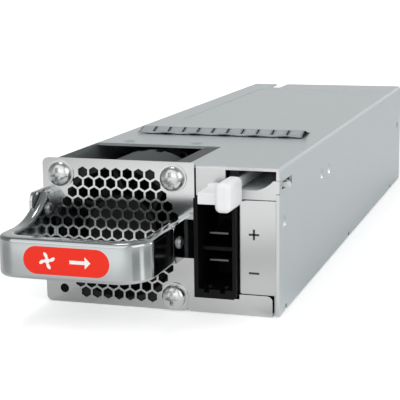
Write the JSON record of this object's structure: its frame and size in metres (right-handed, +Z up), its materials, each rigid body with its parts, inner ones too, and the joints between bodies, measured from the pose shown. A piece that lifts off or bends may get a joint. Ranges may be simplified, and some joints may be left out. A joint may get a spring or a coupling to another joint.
{
  "type": "plug-in power supply module",
  "caption": "Slim plug-in power supply in a folded sheet case, with a honeycomb fan grille, pull handle, direct current inlet and sprung release latch at the front and a contact edge at the rear.",
  "frame": {"origin": "middle of the bottom face of the folded case, handle left out", "axes": "+X to the right seen from the front, +Y from the front to the rear contact edge, +Z up"},
  "size_m": [0.0674, 0.2465, 0.0411],
  "materials": {
    "plated_steel": "zinc-plated sheet, semi-gloss",
    "bright_steel": "bright-plated sheet, semi-gloss",
    "spring_steel": "tin-plated spring strip",
    "polished_metal": "polished",
    "red_inlay": "satin film",
    "white_plastic": "moulded",
    "light_pipe": "smoked, unlit",
    "black_plastic": "moulded",
    "grey_plastic": "moulded",
    "contact_metal": "plated contact",
    "brass": "turned",
    "board": "solder resist",
    "film": "insulating film",
    "can_sleeve": "sleeved",
    "aluminium": "extruded",
    "ferrite": "sintered",
    "winding": "enamelled wire and tape",
    "ceramic_white": "ceramic block"
  },
  "bodies": {
    "chassis": {"chassis_tray": "plated_steel", "top_cover": "plated_steel", "rear_panel": "plated_steel", "fan_partition": "grey_plastic", "front_panel": "bright_steel", "inlet_plate": "bright_steel", "latch_shelf": "bright_steel", "latch_bracket": "bright_steel", "latch_pin": "bright_steel", "finger_strip": "spring_steel", "handle": "polished_metal", "grille_screws": "polished_metal", "handle_screws": "polished_metal", "board_screws": "polished_metal", "handle_inlay": "red_inlay", "fan_socket": "white_plastic", "status_light": "light_pipe", "inlet_housing": "black_plastic", "fan_frame": "grey_plastic", "fan_bearing": "brass", "power_transistors": "black_plastic", "output_rectifiers": "black_plastic", "inlet_blades": "contact_metal", "output_contacts": "contact_metal", "board_standoffs": "brass", "main_board": "board", "control_board": "board", "insulating_sheet": "film", "bulk_capacitors": "can_sleeve", "output_capacitors": "can_sleeve", "primary_heatsink": "aluminium", "output_heatsink": "aluminium", "transformer_core": "ferrite", "output_inductor": "ferrite", "transformer_winding": "winding", "input_choke": "winding", "input_fuse": "ceramic_white"},
    "fan_rotor": {"fan_rotor": "black_plastic", "fan_shaft": "bright_steel"},
    "latch": {"latch_lever": "bright_steel", "latch_arm": "bright_steel", "latch_tab": "white_plastic"}
  },
  "joints": [
    {"name": "fan_spin", "type": "hinge", "parent": "chassis", "child": "fan_rotor", "pos_m": [-0.0125, -0.093, 0.0198], "axis": [0, 1, 0], "continuous": true},
    {"name": "latch_press", "type": "hinge", "parent": "chassis", "child": "latch", "pos_m": [0.0278, -0.0575, 0.0357], "axis": [0, 0, -1], "range_deg": [0, 2.2], "stiffness_Nm_per_rad": 0.5}
  ]
}
